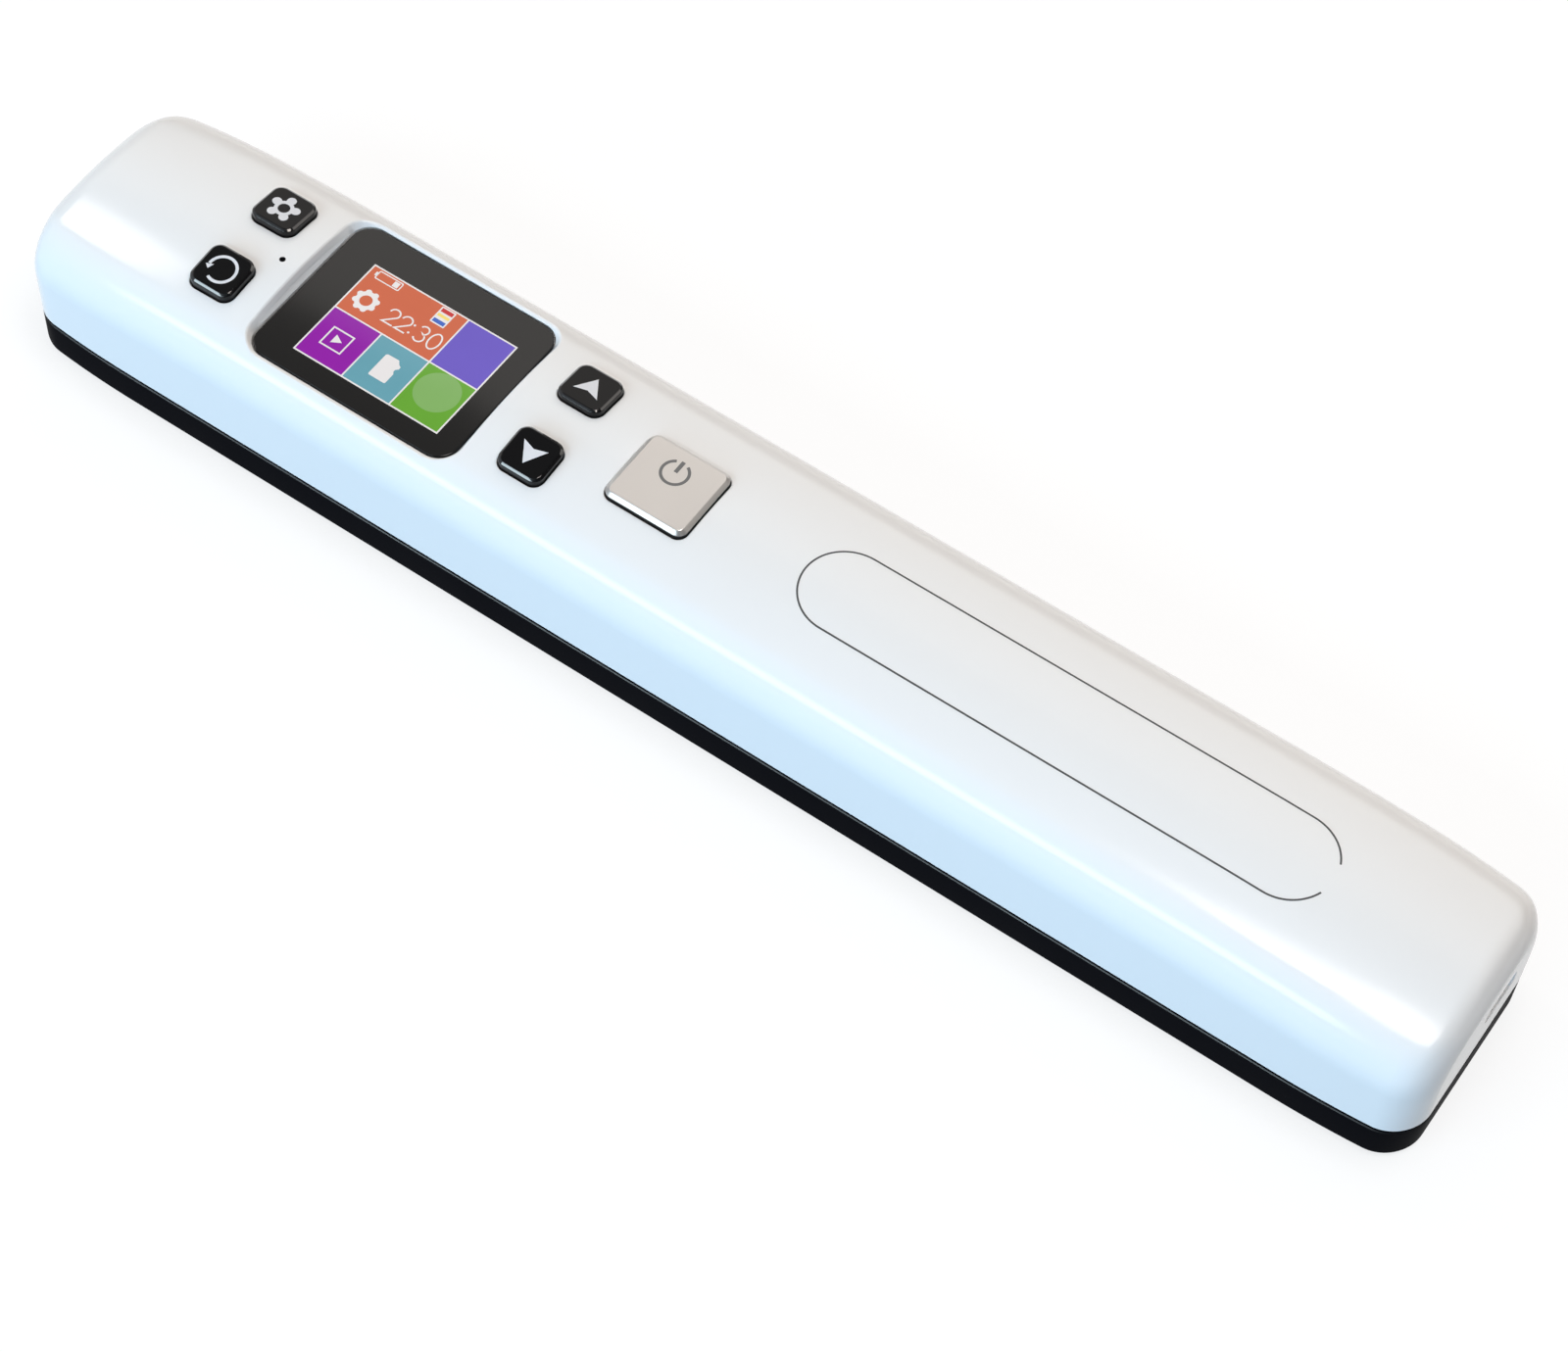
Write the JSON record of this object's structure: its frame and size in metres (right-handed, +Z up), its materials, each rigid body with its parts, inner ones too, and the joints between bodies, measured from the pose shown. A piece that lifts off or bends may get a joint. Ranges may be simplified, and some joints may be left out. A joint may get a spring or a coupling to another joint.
{
  "type": "handheld_document_scanner",
  "caption": "Handheld document scanner: a long white shell with colour screen and keys over a black tray, with scan glass, rollers and encoder gears below",
  "frame": {"origin": "centre of the scanner's plan on the surface that its rollers stand on", "axes": "+X along the scanner from the screen end to the port end, +Y to its back, +Z up"},
  "size_m": [0.256, 0.041, 0.0305],
  "materials": {
    "white_shell": "glossy moulded white plastic",
    "black_base": "dark moulded plastic with a soft gloss",
    "window_glass": "clear window with a black border",
    "display": "colour display panel",
    "key_black": "black key with light symbols",
    "key_silver": "satin silver plated key",
    "dark_component": "matt black component",
    "natural_plastic": "unpainted moulded plastic",
    "circuit_board": "green circuit board",
    "steel": "bright steel",
    "tinned_shell": "tinned pressed steel",
    "card_black": "black memory card",
    "battery_foil": "foil pouch",
    "foam": "dark foam",
    "red_lead": "red insulated wire",
    "scan_glass": "clear glass",
    "light_guide": "clear light guide",
    "flat_cable": "white flat cable",
    "rubber": "grey rubber"
  },
  "bodies": {
    "housing": {"back_switch": "dark_component", "battery_cell": "battery_foil", "battery_lead_black": "dark_component", "battery_lead_red": "red_lead", "battery_pad": "foam", "bearing_left": "natural_plastic", "bearing_middle": "natural_plastic", "bearing_right": "natural_plastic", "board_screw_1": "steel", "board_screw_2": "steel", "board_screw_3": "steel", "bottom_casing": "black_base", "card_socket": "tinned_shell", "casing_screw_1": "steel", "casing_screw_2": "steel", "casing_screw_3": "steel", "casing_screw_4": "steel", "down_switch": "dark_component", "encoder_pin": "steel", "encoder_sensor": "dark_component", "gear_bracket": "natural_plastic", "idler_pin": "steel", "lcd_panel": "display", "light_guide": "light_guide", "main_board": "circuit_board", "port_board": "circuit_board", "port_cable": "dark_component", "port_screw": "steel", "power_switch": "dark_component", "reset_switch": "dark_component", "rod_lens_array": "dark_component", "scan_glass": "scan_glass", "screen_window": "window_glass", "sensor_board": "circuit_board", "sensor_cable": "flat_cable", "sensor_housing": "dark_component", "sensor_screw_left": "steel", "sensor_screw_right": "steel", "settings_switch": "dark_component", "support_pin_left": "steel", "support_pin_right": "steel", "top_casing": "white_shell", "up_switch": "dark_component", "usb_socket": "tinned_shell"},
    "settings_key": {"settings_button": "key_black"},
    "back_key": {"back_button": "key_black"},
    "up_key": {"up_button": "key_black"},
    "down_key": {"down_button": "key_black"},
    "power_key": {"power_button": "key_silver"},
    "reset_key": {"reset_plunger": "natural_plastic"},
    "card": {"memory_card": "card_black"},
    "drive_shaft": {"roller_shaft": "steel", "roller_left": "rubber", "roller_right": "rubber", "shaft_gear": "natural_plastic"},
    "idler": {"idler_gear": "natural_plastic"},
    "encoder": {"encoder_gear": "natural_plastic", "encoder_disc": "dark_component"},
    "support_left": {"support_roller_left": "rubber"},
    "support_right": {"support_roller_right": "rubber"}
  },
  "joints": [
    {"name": "settings_press", "type": "slide", "parent": "housing", "child": "settings_key", "axis": [0, 0, -1], "range_m": [0, 0.00035], "stiffness_N_per_m": 400, "springref_m": -0.001},
    {"name": "back_press", "type": "slide", "parent": "housing", "child": "back_key", "axis": [0, 0, -1], "range_m": [0, 0.00035], "stiffness_N_per_m": 400, "springref_m": -0.001},
    {"name": "up_press", "type": "slide", "parent": "housing", "child": "up_key", "axis": [0, 0, -1], "range_m": [0, 0.00035], "stiffness_N_per_m": 400, "springref_m": -0.001},
    {"name": "down_press", "type": "slide", "parent": "housing", "child": "down_key", "axis": [0, 0, -1], "range_m": [0, 0.00035], "stiffness_N_per_m": 400, "springref_m": -0.001},
    {"name": "power_press", "type": "slide", "parent": "housing", "child": "power_key", "axis": [0, 0, -1], "range_m": [0, 0.00035], "stiffness_N_per_m": 400, "springref_m": -0.001},
    {"name": "reset_press", "type": "slide", "parent": "housing", "child": "reset_key", "axis": [0, 0, -1], "range_m": [0, 0.00035], "stiffness_N_per_m": 400, "springref_m": -0.001},
    {"name": "card_slide", "type": "slide", "parent": "housing", "child": "card", "axis": [0, 1, 0], "range_m": [0, 0.012]},
    {"name": "shaft_spin", "type": "hinge", "parent": "housing", "child": "drive_shaft", "pos_m": [0, 0.0122, 0.0055], "axis": [1, 0, 0], "continuous": true},
    {"name": "idler_spin", "type": "hinge", "parent": "housing", "child": "idler", "pos_m": [-0.117, 0.01029, 0.01076], "axis": [1, 0, 0], "continuous": true},
    {"name": "encoder_spin", "type": "hinge", "parent": "housing", "child": "encoder", "pos_m": [-0.118, 0.00572, 0.0162], "axis": [1, 0, 0], "continuous": true},
    {"name": "support_left_spin", "type": "hinge", "parent": "housing", "child": "support_left", "pos_m": [-0.102, -0.0143, 0.0035], "axis": [1, 0, 0], "continuous": true},
    {"name": "support_right_spin", "type": "hinge", "parent": "housing", "child": "support_right", "pos_m": [0.102, -0.0143, 0.0035], "axis": [1, 0, 0], "continuous": true}
  ],
  "couplings": [
    {"joint": "idler_spin", "follows": "shaft_spin", "ratio": -1.75},
    {"joint": "encoder_spin", "follows": "shaft_spin", "ratio": 4.375}
  ]
}
